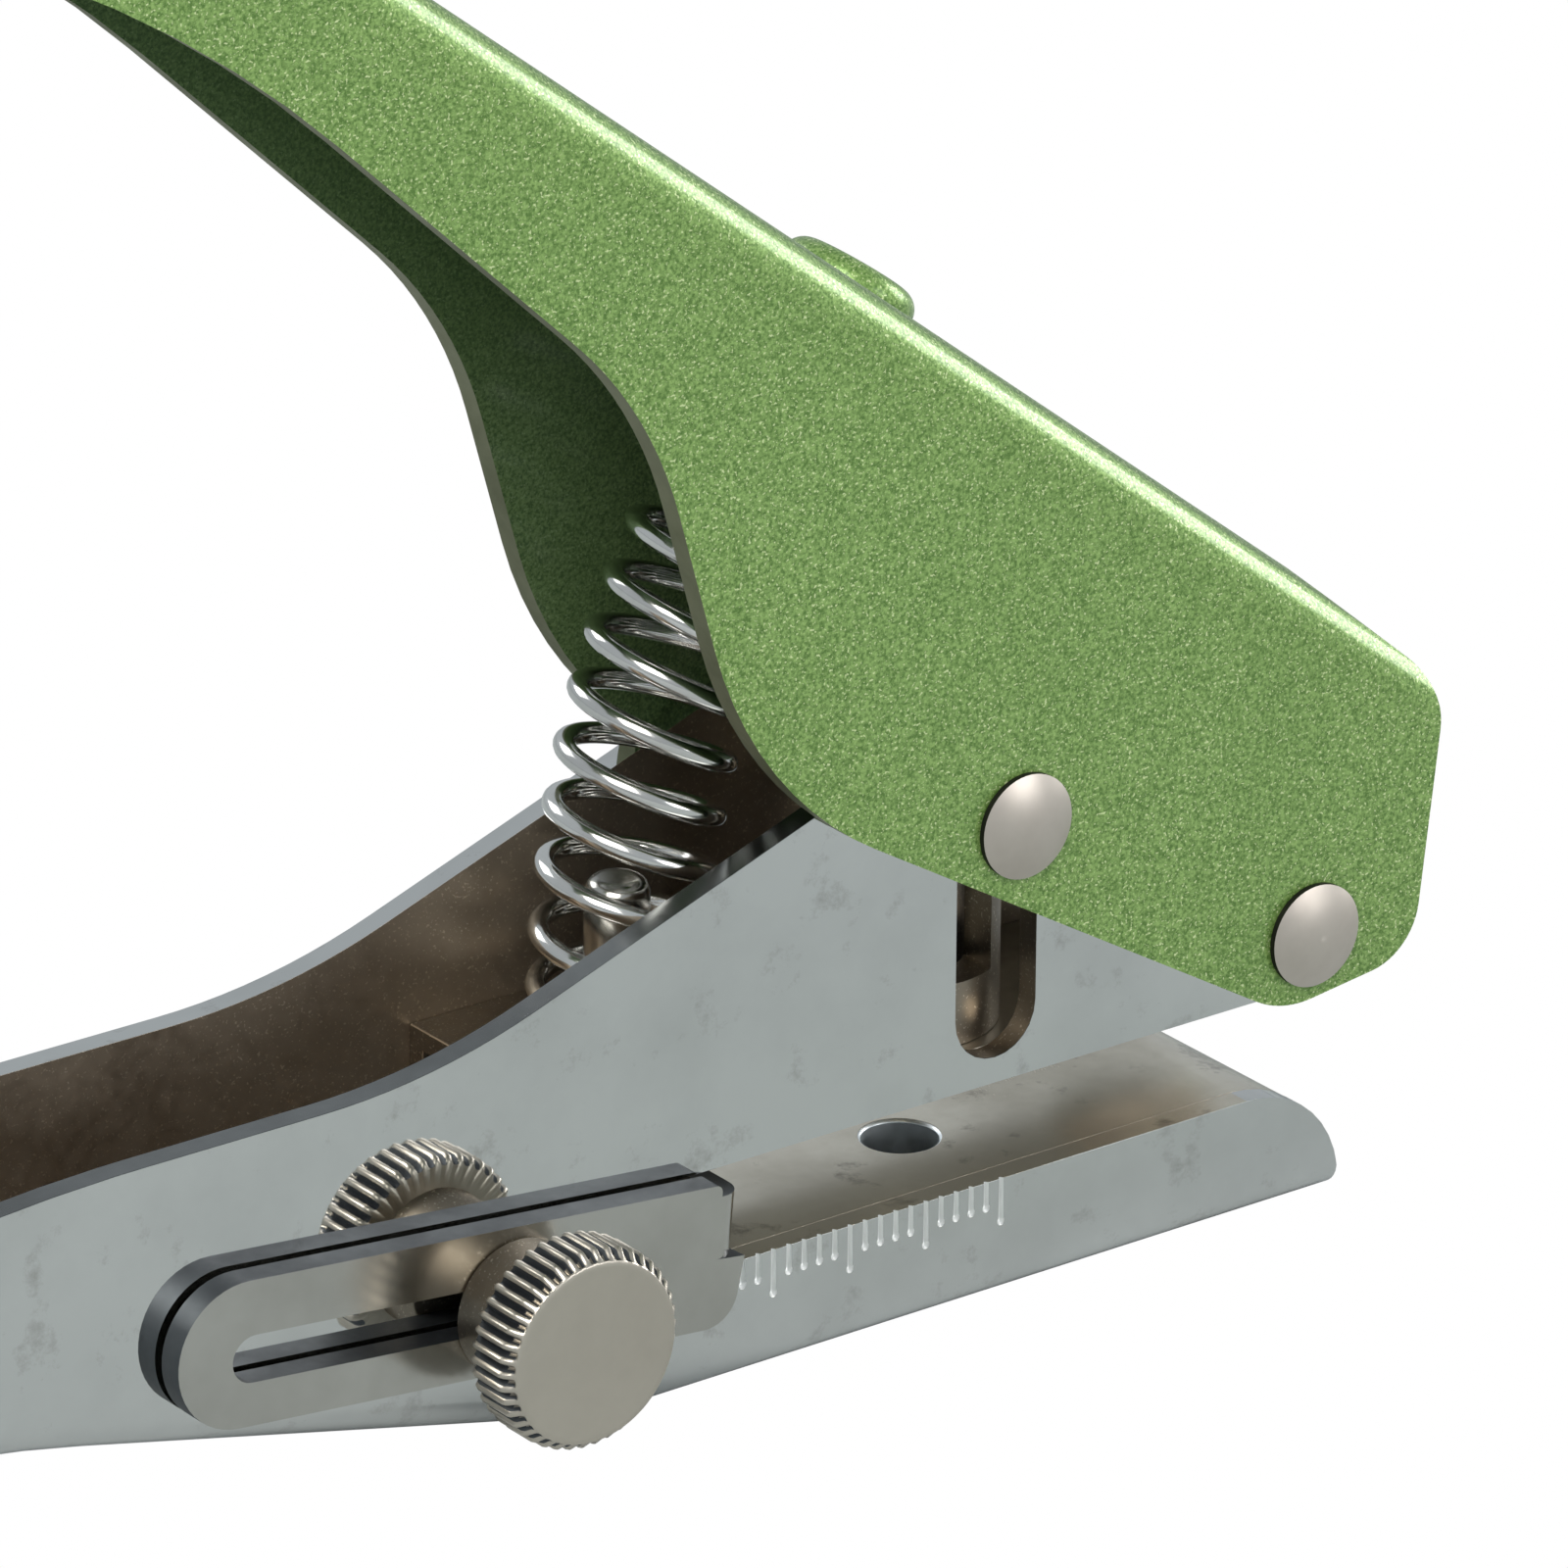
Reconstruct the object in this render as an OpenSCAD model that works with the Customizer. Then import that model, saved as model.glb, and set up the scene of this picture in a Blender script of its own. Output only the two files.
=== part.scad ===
// Single hole punch: plier type, chrome channel body, green channel handle,
// coil return spring, punch sliding in a sleeve, slotted guide plate with a knurled screw.
// Frame: origin on the flat underside of the lower jaw behind the die, +X toward the nose,
// +Z up, the guide plate on the -Y side. The modules work in the jaw frame, whose origin is
// the punch axis at the top of the lower jaw. Sizes in millimetres.

/* [Body channel] */
// half of the outside width of the body
body_half = 7.43; // [6:0.01:9]
// sheet thickness of the body
body_sheet = 1.4; // [1:0.1:2]
// outside bend radius of the channel
body_bend = 1.8; // [1.6:0.1:3]
// height of the lower jaw
jaw_h = 7; // [5.5:0.1:8]
// origin behind the punch axis
datum_back = 12; // [6:0.5:18]
// gap between the jaws
throat_gap = 5.67; // [4.5:0.01:8]
// rear end of the throat behind the punch axis
throat_depth = 24; // [16:0.5:30]
// front end of the lower jaw ahead of the punch axis
nose_x = 24.2; // [20:0.1:28]
// radius over which the lower jaw falls away at the nose
nose_r = 6.5; // [3:0.1:8]
// upward slope of the lower handle in degrees
grip_slope = 13.2; // [8:0.1:18]
// start of the bend behind the punch axis where the lower handle rises
heel_x = 22; // [20:0.5:28]
// bottom radius of that bend
heel_r = 25; // [15:1:40]
// length of the straight part of the lower handle
grip_flat = 29.4; // [15:0.1:40]
// bottom radius of the rear curve of the lower handle
grip_r = 74; // [60:1:100]
// start of the fall of the wall edge behind the punch axis
grip_fall_x = 53; // [45:1:60]
// radius of that fall
grip_fall_r = 100; // [80:1:140]
// corner radius of a handle end seen from above
end_r = 6; // [3:0.5:7]

/* [Body flank] */
// height of the wall behind the spring
flank_low = 15.3; // [12:0.1:18]
// rear end of the slope of the wall behind the punch axis
flank_rear_x = 35.4; // [34:0.1:42]
// rounding of the wall edge at the foot of that slope
flank_r = 40; // [10:1:60]
// rounding of the wall edge at the top of that slope
crest_r = 13; // [5:0.5:20]
// height of the wall above the punch
flank_high = 26.4; // [24:0.1:30]
// half length of the level edge above the punch
flank_half = 4; // [2:0.1:6]
// front end of the upper jaw
front_x = 26.8; // [24:0.1:27.2]
// height of the front corner of the upper jaw
front_z = 15; // [14:0.1:18]
// front radius around the pivot
front_r = 4.3; // [3.5:0.1:5]
// width of the pin slot in the wall
pin_slot_w = 5.3; // [4:0.1:6]
// centre of the pin slot ahead of the punch axis
pin_slot_x = 0.5; // [0:0.1:1]
// lower arc centre of the pin slot above the jaw
pin_slot_low = 9.8; // [9:0.1:11]
// upper arc centre of the pin slot above the jaw
pin_slot_high = 21.4; // [20:0.1:22]

/* [Handle] */
// play between the body wall and the handle wall
handle_play = 0.37; // [0.3:0.01:1]
// sheet thickness of the handle
handle_sheet = 1.4; // [1:0.1:2]
// outside bend radius of the handle
handle_bend = 2.4; // [1.5:0.1:3]
// slope of the open handle in degrees
handle_slope = 37.78; // [30:0.1:45]
// height of the handle top above the jaw at the punch axis
handle_top = 45.5; // [40:0.1:50]
// start of the rear curve behind the punch axis
handle_bend_x = 42; // [38:1:60]
// top radius of the rear curve of the handle
handle_r = 80; // [70:1:120]
// angle through which the rear of the handle turns
handle_turn = 45; // [30:1:50]
// depth of the handle wall along the grip
handle_wall = 8.35; // [8:0.05:12]
// front edge of the handle at its top
handle_nose_x = 29.3; // [28:0.1:31]
// front edge of the handle at its foot
handle_foot_x = 27.5; // [27:0.1:29]
// front of the handle foot above the jaw
handle_foot_z = 6.8; // [6:0.1:8]
// extra fall of the handle top at the nose in degrees
nose_droop = 3; // [2:0.5:8]
// start of that fall ahead of the punch axis
droop_x = 19; // [15:0.5:22]
// rear corner of the handle foot ahead of the punch axis
sole_x = 18.5; // [17:0.1:20]
// height of that corner above the jaw
sole_z = 5.65; // [5:0.05:7]
// corner of the edge ahead of the spring foot, behind the punch axis
belly_x = 16.7; // [14:0.1:19]
// height of that corner above the jaw
belly_z = 26.6; // [24:0.1:29]
// corner of the edge toward the grip, behind the punch axis
hip_x = 23.2; // [21:0.1:26]
// height of that corner above the jaw
hip_z = 49.3; // [46:0.1:52]
// rounding of those two corners
edge_r = 23; // [15:0.5:28]
// rounding of the top corner at the nose
handle_nose_r = 5; // [3:0.5:7]

/* [Linkage] */
// pivot ahead of the punch axis
pivot_x = 20.43; // [18:0.01:24]
// pivot above the jaw
pivot_z = 9.71; // [8:0.01:12]
// drive pin ahead of the punch axis
drive_x = 0.77; // [0:0.01:1]
// drive pin above the jaw
drive_z = 20.92; // [19:0.01:22]
// diameter of the pivot shank
pivot_d = 3.2; // [2.5:0.1:4]
// diameter of the drive pin
drive_d = 2.5; // [2:0.1:3]
// diameter of a rivet head
head_d = 5.78; // [4.5:0.01:7]
// height of a rivet head
head_h = 0.95; // [0.5:0.05:1.5]
// height of a rivet head at its rim
head_rim = 0.35; // [0.2:0.05:0.6]
// travel of the punch
stroke = 8.6; // [7:0.1:9]

/* [Punch and die] */
// diameter of the sliding upper part of the punch
punch_d = 6.5; // [5:0.1:7]
// diameter of the cutting tip
tip_d = 4.1; // [3:0.1:6]
// tip of the open punch above the jaw
tip_z = 6; // [5.7:0.1:7]
// shoulder of the open punch above the jaw
shoulder_z = 16.8; // [16:0.1:18]
// top of the open punch above the jaw
punch_top = 24; // [22:0.1:25]
// outside diameter of the guide sleeve
sleeve_d = 10.4; // [9:0.1:11]
// top of the guide sleeve above the jaw
sleeve_top = 19.5; // [17:0.1:20]
// thickness of the plate closing the upper jaw
jaw_plate_t = 1.5; // [1:0.1:2]
// thickness of the die plate
die_t = 2; // [1.5:0.1:3]
// edge break around the die hole
die_break = 0.15; // [0.05:0.05:0.3]
// rear end of the die plate behind the punch axis
die_rear = 20; // [15:0.5:22]
// diameter of the hole under the die
chip_d = 8; // [5:0.1:10]

/* [Return spring] */
// diameter of the wire
wire_d = 1.15; // [0.8:0.05:1.5]
// outside diameter of the coils
coil_d = 9.6; // [8:0.1:11]
// number of coils
coils = 13; // [8:0.5:14]
// spacing of the end coils
end_pitch = 1.85; // [1.6:0.05:2.5]
// lower spring seat behind the punch axis
seat_x = 18.6; // [17:0.1:20]
// lower spring seat above the jaw
seat_z = 11.6; // [10:0.1:13]
// upper spring seat behind the punch axis, along the handle top
crown_x = 4.2; // [2:0.1:8]
// pull of the spring centre line at its foot
foot_pull = 42; // [20:1:60]
// pull of the spring centre line at its crown
crown_pull = 38; // [10:1:50]
// diameter of the spring posts
post_d = 3.5; // [2:0.1:5]
// length of the lower post
post_l = 8.1; // [5:0.1:10]
// length of the upper post
stud_l = 6; // [3:0.1:8]
// diameter of the upper post's head
stud_head_d = 7.6; // [6:0.1:9]
// height of the upper post's head
stud_head_h = 1.5; // [1:0.1:2]
// rear end of the spring bridge behind the punch axis
bridge_rear = 27.5; // [26:0.5:28]
// front end of the spring bridge behind the punch axis
bridge_front = 11; // [8:0.5:13]

/* [Guide plate] */
// thickness of the guide plate
plate_t = 1.5; // [1:0.1:2]
// width of the guide plate
plate_w = 8; // [6:0.1:10]
// slope of the guide plate in degrees, down toward the nose
plate_slope = 5.4; // [4:0.1:8]
// centre of the rounded plate end behind the screw
plate_back = 16.7; // [14:0.1:20]
// front edge of the plate ahead of the screw
plate_front = 14.4; // [12:0.1:16]
// top edge of the plate above the jaw at the screw
plate_top = 6.87; // [6:0.01:8]
// width of the slot
guide_slot_w = 2.6; // [2:0.1:4]
// rear end of the slot behind the screw, arc centre
slot_back = 16.1; // [12:0.1:18]
// front end of the slot ahead of the screw, arc centre
slot_front = 3.4; // [3.2:0.1:6]
// outside bend radius of the paper stop
stop_bend = 2; // [1.6:0.1:3]
// depth of the paper stop across the throat
stop_y = 12; // [6:0.5:14]
// lower edge of the paper stop above the jaw
stop_low = 1.5; // [1:0.1:2]
// upper edge of the paper stop above the jaw
stop_high = 5; // [4:0.1:5.3]

/* [Thumb screw] */
// screw axis behind the punch axis
screw_x = 31.75; // [28:0.05:36]
// screw axis above the jaw
screw_z = 2.53; // [1:0.01:4]
// diameter of the knurled knob
knob_d = 11.04; // [9:0.02:14]
// length of the knurled knob
knob_l = 3.4; // [2:0.1:6]
// outer face of the knob from the body wall
knob_reach = 8.82; // [7:0.01:10]
// diameter of the shoulder under the knob
shoulder_d = 7.4; // [5:0.1:9]
// diameter of the screw shank
shank_d = 2.4; // [2:0.1:3]
// number of knurl grooves
knurls = 42; // [24:1:60]
// depth of a knurl groove
knurl_deep = 0.4; // [0.1:0.05:0.5]
// width of the clamp nut
nut_w = 6.4; // [5:0.1:8]
// thickness of the clamp nut
nut_t = 2.6; // [2:0.1:4]

/* [Fits] */
// running fit of a moving pin, radial
fit = 0.05; // [0.02:0.01:0.1]
// clear space between parts that pass each other
gap = 0.3; // [0.2:0.05:0.5]
// hairline between two pieces that are fixed together
seam = 0.03; // [0.01:0.01:0.05]
// sheet thickness of the small brackets
bracket_t = 1.2; // [1:0.1:2]
// small edge rounding
ease = 0.4; // [0.2:0.1:0.8]

/* [Show] */
// name of the node to build, or all

/* [Hidden] */
$fn = 64;
body_in = body_half - body_sheet;
handle_in = body_half + handle_play;
handle_half = handle_in + handle_sheet;
arm_x = pivot_x - drive_x;
arm_z = drive_z - pivot_z;
arm = sqrt(arm_x * arm_x + arm_z * arm_z);
arm_open = atan2(arm_z, arm_x);
arm_shut = asin(sin(arm_open) - stroke / arm);
swing = arm_open - arm_shut;
creep = arm * (cos(arm_shut) - cos(arm_open));
mid_shift = arm * (cos((arm_open + arm_shut) / 2) - cos(arm_open)) - creep / 2;
cross_x = drive_x - mid_shift / 2;
drive_lift = stroke / 2 - arm * (sin(arm_open) - sin((arm_open + arm_shut) / 2));
plate_y = body_half + gap;
plate_shift = (plate_top - screw_z) * cos(plate_slope) - plate_w / 2;
stop_drop = (plate_front - plate_t) * tan(plate_slope);
far = 200;
over = 1;

// unit vector of v
function unit(v) = v / norm(v);

// points of an arc about c from angle a0 to a1
function arc(c, r, a0, a1, n = 12) =
    [for (i = [0:n]) let (a = a0 + (a1 - a0) * i / n) c + r * [cos(a), sin(a)]];

// points of the fillet of radius r at corner b between neighbours a and c
function fillet(a, b, c, r) =
    let (u = unit(a - b), v = unit(c - b), half = acos(u * v) / 2)
    let (m = b + unit(u + v) * r / sin(half), p = b + u * r / tan(half) - m)
    let (a0 = atan2(p[1], p[0]), side = cross(-u, v) > 0 ? 1 : -1)
    arc(m, r, a0, a0 + side * (180 - 2 * half), 10);

// outline through corners [x, z, r], each rounded to its own radius
function rounded(k) =
    [for (i = [0:len(k) - 1])
        let (a = k[(i + len(k) - 1) % len(k)], b = k[i], c = k[(i + 1) % len(k)])
        let (p = [a[0], a[1]], q = [b[0], b[1]], s = [c[0], c[1]])
        each (b[2] > 0 ? fillet(p, q, s, b[2]) : [q])];

// a side view outline given thickness from y0 to y1
module side(y0, y1) {
    translate([0, y1, 0]) rotate([90, 0, 0]) linear_extrude(y1 - y0) children();
}

// a round bar along Y
module bar(x, z, d, y0, y1) {
    translate([x, y1, z]) rotate([90, 0, 0]) cylinder(d = d, h = y1 - y0);
}

// a slot along X through y0 to y1
module slot_y(x0, x1, z, d, y0, y1) {
    side(y0, y1) polygon(concat(arc([x1, z], d / 2, -90, 90), arc([x0, z], d / 2, 90, 270)));
}

// half section of a channel web with its bends: across first, height second
function bend_section(half, sheet, bend) =
    let (h = 2 * bend, inner = half - sheet)
    concat([[half, h]], arc([half - bend, bend], bend, 0, -90, 8),
        arc([bend - half, bend], bend, -90, -180, 8), [[-half, h], [-inner, h]],
        arc([bend - half, bend], bend - sheet, 180, 270, 8),
        arc([half - bend, bend], bend - sheet, -90, 0, 8), [[inner, h]]);

// straight channel web of length len running along -X, inside upward
module web_run(section, len) {
    rotate([90, 0, -90]) linear_extrude(len) polygon(section);
}

// curved channel web about the origin from angle a0 to a1, its outside at radius r
module web_turn(section, r, a0, a1) {
    rotate([90, 0, 0]) rotate([0, 0, a0]) rotate_extrude(angle = a1 - a0, $fn = 180)
        polygon([for (p = section) [r - p[1], p[0]]]);
}

// path of the lower handle: heel end, rear curve start, curve centre, curve turn
heel_mid = [-heel_x, heel_r - jaw_h];
heel_end = heel_mid + heel_r * [-sin(grip_slope), -cos(grip_slope)];
grip_start = heel_end + grip_flat * [-cos(grip_slope), sin(grip_slope)];
grip_mid = grip_start - grip_r * [sin(grip_slope), cos(grip_slope)];
grip_turn = grip_slope + acos((-jaw_h - grip_mid[1]) / grip_r);
grip_end_x = grip_mid[0] - grip_r * sin(grip_turn - grip_slope);
fall_mid = [-grip_fall_x, flank_low - grip_fall_r];
fall_end = acos((-grip_end_x - grip_fall_x) / grip_fall_r);

// rounding of both handle ends seen from above
module end_plan(x0, x1, half) {
    translate([0, 0, -far]) linear_extrude(2 * far)
        polygon(rounded([[x0, -half, end_r], [x1, -half, 0], [x1, half, 0], [x0, half, end_r]]));
}

// side outline of the body with the throat, the flank and the pivot lug
module body_outline() {
    throat_r = throat_gap / 2 - seam;
    polygon(concat(
        rounded_open([
            [grip_end_x - over, -jaw_h - over, 0],
            [nose_x, -jaw_h - over, 0],
            [nose_x, 0, nose_r],
            [-throat_depth, 0, throat_r],
            [-throat_depth, throat_gap, throat_r],
            [front_x, throat_gap, front_r],
            [front_x, front_z, front_r],
            [flank_half, flank_high, 2 * front_r],
            [-flank_half, flank_high, crest_r],
            [-flank_rear_x, flank_low, flank_r],
            [-grip_fall_x, flank_low, 0]]),
        arc(fall_mid, grip_fall_r, 90 + over, 180 - fall_end, 16),
        [[grip_end_x - over, fall_mid[1] + grip_fall_r * sin(fall_end)]]));
}

// rounded outline of an open run of corners, its two ends sharp
function rounded_open(k) =
    [for (i = [0:len(k) - 1])
        let (b = k[i], q = [b[0], b[1]])
        each (b[2] > 0 ? fillet([k[i - 1][0], k[i - 1][1]], q, [k[i + 1][0], k[i + 1][1]], b[2])
            : [q])];

// points along the underside of the body from the nose to the rear, raised by lift
function body_path(lift) = concat([[far, lift - jaw_h]],
    arc(heel_mid, heel_r - lift, -90, -90 - grip_slope, 4),
    arc(grip_mid, grip_r + lift, 90 - grip_slope, 90 - grip_slope + grip_turn + over, 16));

// everything above the underside raised by lift
module body_region(lift) {
    polygon(concat(body_path(lift), [[-far, far], [far, far + lift]]));
}

// what the bend along the +Y edge of the underside takes off the square corner
module bend_waste() {
    ring = concat([[body_half + over, -over], [body_half + over, body_bend]],
        arc([body_half - body_bend, body_bend], body_bend, 0, -90, 8),
        [[body_half - body_bend, -over]]);
    n = len(ring);
    m = len(body_path(0));
    pts = [for (i = [0:m - 1], k = [0:n - 1])
        let (p = body_path(ring[k][1])[i]) [p[0], ring[k][0], p[1]]];
    sides = [for (i = [0:m - 2], j = [0:n - 1])
        let (a = i * n + j, b = i * n + (j + 1) % n) each [[a, b, b + n], [a, b + n, a + n]]];
    e = (m - 1) * n;
    caps = [for (j = [1:n - 2]) each [[0, j + 1, j], [e, e + j, e + j + 1]]];
    polyhedron(points = pts, faces = concat(sides, caps));
}

module body_shell() {
    out = body_half + over;
    color([0.75, 0.77, 0.78]) at_jaw() difference() {
        intersection() {
            side(-body_half, body_half) body_region(0);
            side(-out, out) body_outline();
            end_plan(grip_end_x, far, out);
        }
        side(-body_in, body_in) body_region(body_sheet);
        bend_waste();
        mirror([0, 1, 0]) bend_waste();
        body_cuts();
    }
}

module body_cuts() {
    out = body_half + over;
    hull_d = pin_slot_w / 2;
    side(-out, out) polygon(concat(
        arc([pin_slot_x, pin_slot_high], hull_d, 0, 180),
        arc([pin_slot_x, pin_slot_low], hull_d, 180, 360)));
    slot_y(pivot_x, pivot_x + creep, pivot_z, pivot_d + 2 * fit, -out, out);
    bar(-screw_x, screw_z, shank_d + 2 * fit, -out, 0);
    translate([0, 0, -jaw_h - over]) cylinder(d = chip_d, h = body_sheet + 2 * over);
}

// places the jaw frame in the part's own frame
module at_jaw() {
    translate([datum_back, 0, jaw_h]) children();
}

// path of the handle: unit vectors along and out of its top, rear curve start and centre
along = [-cos(handle_slope), sin(handle_slope)];
outward = [sin(handle_slope), cos(handle_slope)];
crest = [0, handle_top];
curve_start = crest + along * handle_bend_x / cos(handle_slope);
curve_mid = curve_start - handle_r * outward;
curve_a0 = 90 - handle_slope;
curve_in = handle_r - handle_wall;
handle_end_x = curve_mid[0] + curve_in * cos(curve_a0 + handle_turn) + gap;
hip = [-hip_x, hip_z];
hip_rel = hip - curve_mid;
hip_a = atan2(hip_rel[1], hip_rel[0]) + acos(curve_in / norm(hip_rel));
crown = crest + along * crown_x / cos(handle_slope);

// side outline of the handle, open beyond its top
function handle_corners() =
    let (d = handle_slope + nose_droop, u = [-cos(d), sin(d)])
    let (k = crest - along * droop_x / cos(handle_slope))
    let (n = k - u * (handle_nose_x - droop_x) / cos(d), q = k + u * droop_x)
    concat([[q[0], q[1], 0], [-far, far, 0]],
        [for (p = arc(curve_mid, curve_in, curve_a0 + handle_turn + over, hip_a, 16))
            [p[0], p[1], 0]],
        [[-hip_x, hip_z, edge_r], [-belly_x, belly_z, edge_r],
            [sole_x, sole_z, 3 * ease], [handle_foot_x, handle_foot_z, 4 * ease],
            [n[0], n[1], handle_nose_r]]);

// region below the web bends of the handle
module handle_sides() {
    lift = 1.5 * handle_bend;
    polygon(concat([[far, -far], crest - lift * outward - far / 2 * along],
        arc(curve_mid, handle_r - lift, curve_a0, curve_a0 + handle_turn + over, 16),
        [[-far, -far]]));
}

module handle_web() {
    section = bend_section(handle_half, handle_sheet, handle_bend);
    ahead = (handle_nose_x + 2 * handle_bend + over) / cos(handle_slope);
    front = crest - ahead * along;
    run = ahead + handle_bend_x / cos(handle_slope);
    translate([front[0], 0, front[1]]) rotate([0, handle_slope, 0]) {
        rotate([180, 0, 0]) web_run(section, run);
        translate([-run, 0, -handle_r]) web_turn(section, handle_r, 90, 90 + handle_turn);
    }
}

module handle_shell() {
    color([0.42, 0.58, 0.33]) at_jaw() difference() {
        intersection() {
            union() {
                handle_web();
                side(-handle_half, -handle_in) handle_sides();
                side(handle_in, handle_half) handle_sides();
            }
            side(-handle_half - over, handle_half + over) polygon(rounded(handle_corners()));
            end_plan(handle_end_x, far, handle_half + over);
        }
        bar(pivot_x, pivot_z, pivot_d + 2 * fit, -handle_half - over, handle_half + over);
        bar(drive_x, drive_z, drive_d + 2 * seam, -handle_half - over, handle_half + over);
        at_crown() translate([0, 0, -2 * handle_sheet])
            cylinder(d = post_d + 2 * seam, h = 3 * handle_sheet);
    }
}

// frame of the upper spring post: origin on the handle top, Z outward
module at_crown() {
    translate([crown[0], 0, crown[1]]) rotate([0, handle_slope, 0]) children();
}

// half outline of a domed rivet head from its seat at height a, standing on a shank of diameter d
function head(a, d) =
    let (h = head_h - head_rim, r = (head_d * head_d / 4 + h * h) / (2 * h))
    let (t = asin(head_d / 2 / r))
    concat([[d / 2, a], [head_d / 2, a]], arc([0, a + head_h - r], r, 90 - t, 90, 10));

// rivet across the handle, its heads clear of the walls by play
module rivet(x, z, d, play) {
    top = head(handle_half + play, d);
    n = len(top);
    translate([x, 0, z]) rotate([90, 0, 0]) rotate_extrude()
        polygon(concat(top, [for (i = [1:n]) [top[n - i][0], -top[n - i][1]]]));
}

module pivot_rivet() {
    color([0.66, 0.63, 0.6]) at_jaw() rivet(pivot_x, pivot_z, pivot_d, fit);
}

module drive_rivet() {
    color([0.66, 0.63, 0.6]) at_jaw() rivet(drive_x, drive_z, drive_d, seam);
}

module spring_stud() {
    under = handle_sheet + stud_l;
    half = [[0, -under, 0], [post_d / 2, -under, 2 * ease], [post_d / 2, seam, 0],
        [stud_head_d / 2, seam, 0], [stud_head_d / 2, stud_head_h, 3 * ease],
        [0, stud_head_h, 0]];
    color([0.42, 0.58, 0.33]) at_jaw() at_crown() rotate_extrude() polygon(rounded(half));
}

module die_plate() {
    foot = body_sheet + seam - jaw_h;
    front = nose_x - seam;
    low = -jaw_h - 2 * over;
    color([0.5, 0.48, 0.42]) at_jaw() difference() {
        side(seam - body_in, body_in - seam) polygon(rounded([
            [-die_rear, low, 0], [-die_rear, 0, die_t], [front, 0, nose_r],
            [front, low, 0], [front - die_t, low, 0], [front - die_t, -die_t, nose_r - die_t],
            [die_t - die_rear, -die_t, ease], [die_t - die_rear, low, 0]]));
        translate([0, 0, -die_t - over]) cylinder(d = tip_d + 2 * fit, h = die_t + 2 * over);
        translate([0, 0, -die_break])
            cylinder(d1 = tip_d + 2 * fit, d2 = tip_d + 2 * fit + 4 * die_break, h = 2 * die_break);
        translate([-far, -far, foot - far]) cube([2 * far, 2 * far, far]);
    }
}

module jaw_plate() {
    color([0.45, 0.4, 0.35]) at_jaw() difference() {
        translate([-throat_depth + 2 * over, seam - body_in, throat_gap])
            cube([throat_depth + pivot_x - head_d - 2 * over, 2 * body_in - 2 * seam, jaw_plate_t]);
        translate([0, 0, throat_gap - over]) cylinder(d = tip_d + 2 * fit, h = jaw_plate_t + 2 * over);
    }
}

module guide_sleeve() {
    foot = throat_gap + jaw_plate_t + seam;
    low = drive_z - stroke - drive_d / 2 - gap;
    wide = drive_d + abs(mid_shift) + 2 * gap;
    color([0.45, 0.38, 0.3]) at_jaw() difference() {
        translate([0, 0, foot]) cylinder(d = sleeve_d, h = sleeve_top - foot);
        translate([0, 0, foot - over]) cylinder(d = punch_d + 2 * fit, h = sleeve_top);
        translate([cross_x - wide / 2, -sleeve_d, low]) cube([wide, 2 * sleeve_d, sleeve_top]);
    }
}

module punch() {
    cup = tip_d / 2 - ease;
    half = [[0, tip_z + ease, 0], [cup, tip_z, 0], [tip_d / 2, tip_z, 0],
        [tip_d / 2, shoulder_z, 0], [punch_d / 2, shoulder_z, ease],
        [punch_d / 2, punch_top, ease], [0, punch_top, 0]];
    amp = abs(mid_shift) / 2;
    color([0.55, 0.53, 0.5]) at_jaw() difference() {
        rotate_extrude() polygon(rounded(half));
        slot_y(cross_x - amp, cross_x + amp, drive_z + drive_lift / 2,
            drive_d + 2 * fit + drive_lift, -punch_d, punch_d);
    }
}

module spring_bridge() {
    foot = throat_gap + jaw_plate_t + seam;
    color([0.35, 0.3, 0.26]) at_jaw() difference() {
        translate([-bridge_rear, seam - body_in, foot])
            cube([bridge_rear - bridge_front, 2 * (body_in - seam), seat_z - foot]);
        translate([-bridge_rear - over, bracket_t - body_in, foot - over])
            cube([bridge_rear, 2 * (body_in - bracket_t), seat_z - foot - bracket_t + over]);
        translate([-seat_x, 0, foot]) cylinder(d = post_d + 2 * seam, h = seat_z);
    }
}

module spring_post() {
    tail = seat_z - bracket_t - seam;
    flange = post_d / 2 + bracket_t;
    half = [[0, tail - bracket_t, 0], [flange, tail - bracket_t, ease], [flange, tail, 0],
        [post_d / 2, tail, 0], [post_d / 2, seat_z + post_l, 2 * ease],
        [0, seat_z + post_l, 0]];
    color([0.72, 0.69, 0.62]) at_jaw() translate([-seat_x, 0, 0])
        rotate_extrude() polygon(rounded(half));
}

// spring centre line: a smooth curve from the lower seat to the underside of the handle top
foot_p = [-seat_x, seat_z + wire_d / 2 + seam];
crown_p = crown - (handle_sheet + wire_d / 2 + seam) * outward;
function line_p(t) = foot_p * (1 - 3 * t * t + 2 * t * t * t)
    + crown_p * (3 * t * t - 2 * t * t * t)
    + [0, foot_pull] * (t - 2 * t * t + t * t * t)
    + outward * crown_pull * (t * t * t - t * t);
function line_d(t) = unit(line_p(t + seam) - line_p(t - seam));

coil_steps = 8;
wire_sides = 6;
rings = coils * coil_steps;
function pace(i) = let (c = i / coil_steps)
    let (k = max(0, min(1, c - 0.5, coils - 0.5 - c))) k;
paces = [for (i = 0, s = 0; i <= rings; s = s + pace(i + 0.5), i = i + 1) s];
run_up = [for (i = 0, s = 0; i <= rings; s = s + norm(line_p((i + 1) / rings) - line_p(i / rings)),
    i = i + 1) s];
line_len = run_up[rings];
end_share = end_pitch * coils / line_len;
function along_line(i) = end_share * i / rings + (1 - end_share) * paces[i] / paces[rings];

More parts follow.
